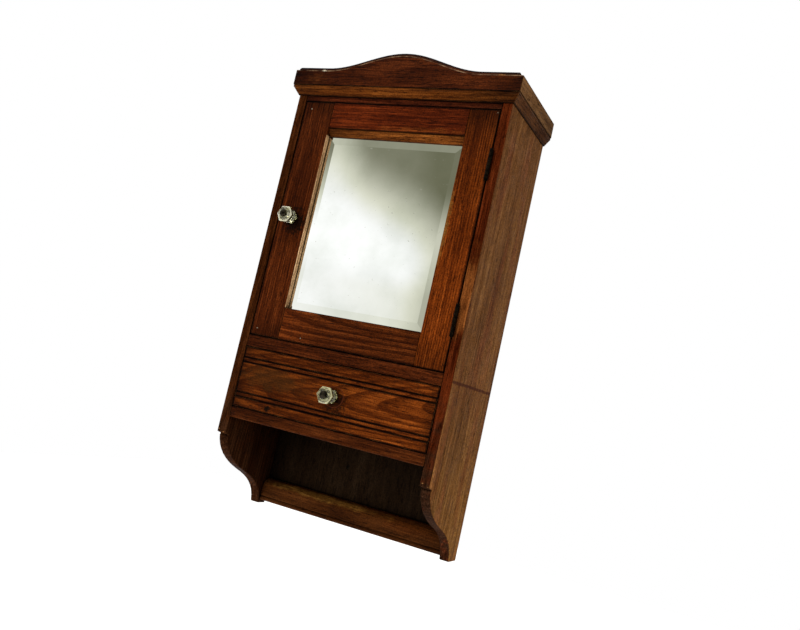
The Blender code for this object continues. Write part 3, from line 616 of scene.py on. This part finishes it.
def dress_door_rails(door_seam):
    low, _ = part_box("door_rail_top")
    marks = [
        cast((0.045, low.y, low.z + 0.003), (0.085, 0.006, 0.007), (1.35, 1.9, 1.9), grain=60),
        stripe("z", low.z, 0.0012, 0.7),
        ends("door_rail_top", "x", 0.05, 0.35),
        door_seam,
    ]
    wood("door_rail_top", "x", shades(94, 34, 8), 6.6, pith=(0, 0.05, 0.06), lean=0.03, gap=0.0045,
         warp=0.02, marks=marks)
    low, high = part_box("door_rail_bottom")
    marks = [
        stripe("z", high.z, 0.0016, 0.6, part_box("door_stile_left")[0].y),
        grade("x", low.x, low.x + 0.09, 2.3, 0.95),
        door_seam,
    ]
    wood("door_rail_bottom", "x", shades(84, 36, 9), 8.1, pith=(0.01, 0.04, 0.04), lean=0.12, gap=0.0065,
         figure=0.9, mottle=0.7, marks=marks)
    low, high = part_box("mirror_top_strip")
    marks = [
        grade("x", low.x, high.x, 0.7, 1.3),
        ends("mirror_top_strip", "x", 0.045, 0.4),
        stripe("z", high.z, 0.0024, 0.85),
    ]
    wood("mirror_top_strip", "x", shades(126, 68, 24), 1.9, marks=marks)


def dress_door_back():
    for i, side in enumerate(("left", "right")):
        wood(f"backing_bead_{side}", "z", GLOOMY, 6.8 + i, dull=0.1)
    for i, side in enumerate(("top", "bottom")):
        wood(f"backing_bead_{side}", "x", GLOOMY, 9.9 + i, dull=0.1)
    wood("mirror_backing_board", "x", RAW, 3.3, wear=0.2, dull=0.2, figure=0.3)


def dress_drawer(drawer_seam):
    low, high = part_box("drawer_front")
    knob = middle_of("drawer_knob")
    marks = [
        grade("x", low.x, high.x, 0.8, 1.45),
        blot((low.x + 0.06, low.y, knob.z + 0.004), (0.07, 0.02, 0.022), srgb(66, 38, 12), 0.6, grain=60),
        # Dirt and the knob's painted shadow, right of and below it.
        blot((knob.x + 0.006, low.y, knob.z - 0.006), (0.023, 0.02, 0.022), DIRT_AND_SHADOW, 0.85, grain=260),
        ring_mark(knob + Vector((0.003, 0, 0)), 0.0145),
        blot((low.x + 0.058, low.y, low.z + 0.007), (0.008, 0.01, 0.006), DIRT_AND_SHADOW, 0.95, grain=200),
        *(stripe("z", FOOT + height, 0.0023, 0.92, low.y) for height in REED_HEIGHTS),
        ends("drawer_front", "x", 0.02, 0.4),
        drawer_seam,
    ]
    wood("drawer_front", "x", shades(102, 46, 10), 2.4, pith=(0, 0.03, 0), lean=0.10, gap=0.0058,
         figure=0.85, marks=marks)
    for i, (side, _) in enumerate(SIDES):
        wood(f"drawer_side_{side}", "y", RAW, 3.3 + i, wear=0.2, dull=0.15)
    wood("drawer_back", "x", RAW, 5.1, wear=0.2, dull=0.15)
    wood("drawer_bottom", "x", RAW, 6.3, wear=0.2, hollow_shade=0.4, dull=0.2)


def dress_woods():
    door_seam = seam(*union([name for name in NODES if name.startswith(("door_stile", "door_rail"))]))
    drawer_seam = seam(*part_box("drawer_front"))
    dress_sides(middle_of("divider_board").z, (door_seam, drawer_seam))
    dress_crown_front()
    dress_crown_sides()
    dress_rails(door_seam, drawer_seam)
    dress_bottom_rail()
    dress_inside()
    dress_stiles(door_seam)
    dress_door_rails(door_seam)
    dress_door_back()
    dress_drawer(drawer_seam)


# ---------------------------------------------------------------- glass and metal
def mirror_silver():
    """Old silvered plate: faintly green, with a few dull specks."""
    material, tree, shader = new_material("old_mirror")
    coords = shifted(tree, (0.2, 0.5, 0.1))
    haze = noise(tree, coords, 14, detail=4)
    specks = span(tree, noise(tree, coords, 260, detail=2), 0.70, 0.78)
    silver = mix(tree, span(tree, haze, 0.3, 0.8), srgb(250, 252, 250), srgb(228, 232, 226))
    silver = mix(tree, times(tree, specks, 0.25), silver, srgb(140, 138, 120))
    feed(tree, shader, "Base Color", silver)
    feed(tree, shader, "Roughness", span(tree, specks, 0, 1, 0.015, 0.2))
    feed(tree, shader, "Normal", bent_left_bevel(tree))
    shader.inputs["Metallic"].default_value = 1.0
    return material


def bent_left_bevel(tree):
    """The mirror's normal, but the left bevel leans inwards by half its slope, as with silver behind it."""
    across, back, up = node(tree, "SeparateXYZ", {0: node(tree, "TexCoord").outputs["Normal"]}).outputs
    bend = times(tree, calc(tree, "MINIMUM", across, 0.0), -1.5)
    leaning = node(tree, "CombineXYZ", {0: plus(tree, across, bend), 1: back, 2: up}).outputs[0]
    return node(tree, "VectorTransform", {0: leaning}, vector_type="NORMAL", convert_from="OBJECT",
                convert_to="WORLD").outputs[0]


def knob_glass(name, cream):
    """Greenish pressed glass with soft mould ripples, with cream painted highlights on its arrises and, in
    clouds and round its rim, on its face.
    """
    material, tree, shader = new_material(name + "_glass")
    coords = shifted(tree, (0.3, 0.3, 0.3))
    centre = middle_of(name)
    ripple = noise(tree, coords, 220, detail=2)
    depth = span(tree, noise(tree, coords, 90), 0.35, 0.65)
    glass = mix(tree, depth, srgb(200, 196, 146), srgb(84, 80, 44))
    facing = component(tree, node(tree, "NewGeometry").outputs["Normal"], "y")
    bolt = nearness(tree, centre, 0.0056, 0.0064)
    face = minus(tree, span(tree, facing, -0.3, -0.8), bolt, clamp=True)
    cloud = span(tree, noise(tree, coords, 170, detail=1), 0.42, 0.60, 0.1, 0.6)
    rim = minus(tree, 1.0, nearness(tree, centre, 0.0088, 0.0108))
    face = times(tree, face, calc(tree, "MAXIMUM", cloud, rim))
    painted_glint = calc(tree, "MAXIMUM", face, edge_mask(tree, 0.0011, 0.80, 0.985))
    feed(tree, shader, "Base Color", mix(tree, painted_glint, glass, cream))
    feed(tree, shader, "Transmission Weight", span(tree, painted_glint, 0.0, 1.0, 0.92, 0.1))
    feed(tree, shader, "Roughness", span(tree, ripple, 0.3, 0.7, 0.0, 0.04))
    shader.inputs["IOR"].default_value = 1.5
    relief(tree, shader, ripple, radius=0.0006, strength=0.15, distance=0.0006)
    return material


def metal(name, clean, tarnish, roughness):
    """Old metal: tarnish in clouds, brighter on the edges, fine pitting."""
    material, tree, shader = new_material(name)
    coords = shifted(tree, (0.7, 0.2, 0.4))
    clouds = span(tree, noise(tree, coords, 180, detail=4), 0.38, 0.62)
    rubbed = times(tree, edge_mask(tree, 0.0006, 0.75, 0.97), 0.6)
    feed(tree, shader, "Base Color", mix(tree, rubbed, mix(tree, clouds, clean, tarnish), clean))
    feed(tree, shader, "Roughness", span(tree, clouds, 0, 1, roughness, roughness + 0.25))
    shader.inputs["Metallic"].default_value = 1.0
    relief(tree, shader, noise(tree, coords, 1800, detail=2), radius=0.0003, strength=0.3, distance=0.0002)
    return material


def dress_hardware():
    dress(["mirror"], mirror_silver())
    dress(["door_knob"], knob_glass("door_knob", srgb(246, 240, 214)))
    dress(["drawer_knob"], knob_glass("drawer_knob", srgb(222, 216, 172)))
    steel = metal("dark_steel", srgb(56, 50, 40), srgb(20, 17, 13), 0.35)
    dress([name for name in NODES if name.endswith(("_bolt", "_nut"))], steel)
    dress([name for name in NODES if name.startswith("hanger_plate")], steel)
    brass = metal("old_brass", srgb(34, 26, 17), srgb(15, 11, 8), 0.45)
    dress(["niche_screw"], brass)
    dress([name for name in NODES if name.startswith(("hinge_", "catch_"))], brass)


# ---------------------------------------------------------------- pins added to the door
def add_mesh(name, mesh, material, body):
    """Store a finished mesh as a piece that rides on a body."""
    bmesh.ops.recalc_face_normals(mesh, faces=mesh.faces)
    data = bpy.data.meshes.new(name)
    mesh.to_mesh(data)
    mesh.free()
    data.shade_smooth()
    data.set_sharp_from_angle(angle=0.7)
    data.materials.append(material)
    item = bpy.data.objects.new(name, data)
    bpy.context.scene.collection.objects.link(item)
    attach(item, body)


def dome(centre, facing, radius, height, sides=12, rings=4):
    """Closed low dome whose flat back lies at centre and whose crown points along facing."""
    mesh = bmesh.new()
    turn = Vector(facing).to_track_quat("Z", "Y").to_matrix().to_4x4()
    rows = []
    for ring in range(rings):
        angle = pi / 2 * ring / rings
        rows.append([
            mesh.verts.new((radius * cos(angle) * cos(2 * pi * i / sides),
                            radius * cos(angle) * sin(2 * pi * i / sides), height * sin(angle)))
            for i in range(sides)])
    crown = mesh.verts.new((0, 0, height))
    for low, high in zip(rows, rows[1:]):
        for i in range(sides):
            j = (i + 1) % sides
            mesh.faces.new((low[i], low[j], high[j], high[i]))
    for i in range(sides):
        mesh.faces.new((rows[-1][i], rows[-1][(i + 1) % sides], crown))
    mesh.faces.new(list(reversed(rows[0])))
    bmesh.ops.transform(mesh, matrix=Matrix.Translation(centre) @ turn, verts=mesh.verts)
    return mesh


PIN_RADIUS = 0.0010
PIN_HEIGHT = 0.0004


def door_pins():
    """Pins through the door's corner joints, rubbed bright."""
    bright = metal("rubbed_pin", srgb(170, 158, 140), srgb(110, 90, 70), 0.35)
    left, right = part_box("door_stile_left"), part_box("door_stile_right")
    spots = {
        "top_left": (left[0].x + 0.012, left[1].z - 0.011),
        "top_right": (right[1].x - 0.003, right[1].z - 0.004),
        "bottom_left": (left[0].x + 0.010, left[0].z + 0.010),
        "bottom_middle": (left[1].x + 0.037, left[0].z + 0.007),
    }
    for name, (x, z) in spots.items():
        pin = dome((x, left[0].y, z), (0, -1, 0), PIN_RADIUS, PIN_HEIGHT)
        add_mesh(f"door_pin_{name}", pin, bright, "door")


# ---------------------------------------------------------------- stage, light and camera
FLOOR_HALF = 2.0
FLOOR_DROP = 0.30


def floor():
    """Pale sheet well below the cabinet, which hangs on a wall."""
    mesh = bmesh.new()
    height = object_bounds()[0][2] - FLOOR_DROP
    corners = ((-1, -1), (1, -1), (1, 1), (-1, 1))
    mesh.faces.new([mesh.verts.new((x * FLOOR_HALF, y * FLOOR_HALF, height)) for x, y in corners])
    data = bpy.data.meshes.new("floor")
    mesh.to_mesh(data)
    mesh.free()
    material, _, shader = new_material("pale_floor")
    shader.inputs["Base Color"].default_value = (0.93, 0.93, 0.92, 1)
    shader.inputs["Roughness"].default_value = 0.9
    shader.inputs["Emission Color"].default_value = (1, 1, 1, 1)
    shader.inputs["Emission Strength"].default_value = 0.3
    data.materials.append(material)
    item = bpy.data.objects.new("floor", data)
    bpy.context.scene.collection.objects.link(item)
    item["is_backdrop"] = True


def key_light(place=(-1.0, -1.5, 2.2), size=1.0, power=26):
    """Soft disk high on the left, aimed at the cabinet's origin."""
    light = bpy.data.lights.new("key", "AREA")
    light.shape = "DISK"
    light.size = size
    light.energy = power
    item = bpy.data.objects.new("key", light)
    item.location = place
    item.rotation_euler = (-Vector(place)).to_track_quat("-Z", "Y").to_euler()
    bpy.context.scene.collection.objects.link(item)


def front_wall(tree, right, up):
    """Light of the wall that the mirror shows: bright below a slanting edge, dim above it."""
    slant = plus(tree, calc(tree, "MINIMUM", right, -0.41), 0.55)
    height = plus(tree, up, times(tree, slant, 0.35))
    dim_left = span(tree, right, -0.53, -0.49, 0.53, 0.20)
    dim_right = span(tree, right, -0.36, -0.28, 0, 0.3)
    bright_below = span(tree, right, -0.45, -0.30, 0.205, 0.25, smooth=False)
    light = span(tree, height, bright_below, 0.315, 1.0, calc(tree, "MAXIMUM", dim_left, dim_right))
    low_wall = span(tree, right, -0.54, -0.42, 0.92, 0.76, smooth=False)
    far_left = span(tree, up, 0.20, 0.28, 0.88, 0.5)
    falls = (
        span(tree, up, 0.125, 0.165, low_wall, 1.0),
        span(tree, up, -0.06, 0.10, 0.92, 1.0),
        span(tree, right, -0.455, -0.395, 1.0, 0.55),
        span(tree, right, -0.66, -0.58, far_left, 1.0),
    )
    for fall in falls:
        light = times(tree, light, fall)
    return light


def studio_world():
    """White room whose front wall, seen in the mirror, dims upwards and to the right."""
    world = bpy.data.worlds.new("studio")
    bpy.context.scene.world = world
    world.use_nodes = True
    tree = world.node_tree
    way = node(tree, "SeparateXYZ", {0: node(tree, "TexCoord").outputs["Generated"]})
    right, back, up = way.outputs
    light = front_wall(tree, right, up)
    upper_wall = span(tree, up, 0.33, 0.42, 0.0, 0.27)
    ceiling = span(tree, up, 0.5, 0.8)
    rear = span(tree, back, -0.3, 0.0)
    for part in (upper_wall, ceiling, rear):
        light = calc(tree, "MAXIMUM", light, part)
    level = span(tree, light, 0.15, 1.0, smooth=False)
    room = mix(tree, level, (0.16, 0.16, 0.12, 1), (1.08, 1.08, 1.08, 1))
    yellowed = stain(tree, room, (1, 1, 0.85, 1))
    room = mix(tree, span(tree, level, 0.55, 0.95), yellowed, room)
    seen = node(tree, "LightPath").outputs["Is Camera Ray"]
    feed(tree, tree.nodes["Background"], "Color", mix(tree, seen, room, (1.0, 1.0, 1.0, 1)))


CAMERA_PLACE = Vector((0.5593, -1.1241, -0.1170))
CAMERA_AIM = Vector((0.0757, -0.1520, -0.0016))
CAMERA_ROLL = radians(12.754)
CAMERA_LENS = 36.87
CAMERA_SENSOR = 36.0


def camera():
    data = bpy.data.cameras.new("camera")
    data.lens = CAMERA_LENS
    data.sensor_width = CAMERA_SENSOR
    item = bpy.data.objects.new("camera", data)
    look = (CAMERA_AIM - CAMERA_PLACE).to_track_quat("-Z", "Y").to_matrix().to_4x4()
    item.matrix_world = Matrix.Translation(CAMERA_PLACE) @ look @ Matrix.Rotation(CAMERA_ROLL, 4, "Z")
    bpy.context.scene.collection.objects.link(item)
    bpy.context.scene.camera = item


dress_woods()
dress_hardware()
door_pins()
floor()
studio_world()
key_light()
camera()
bpy.context.scene.view_settings.view_transform = "Standard"
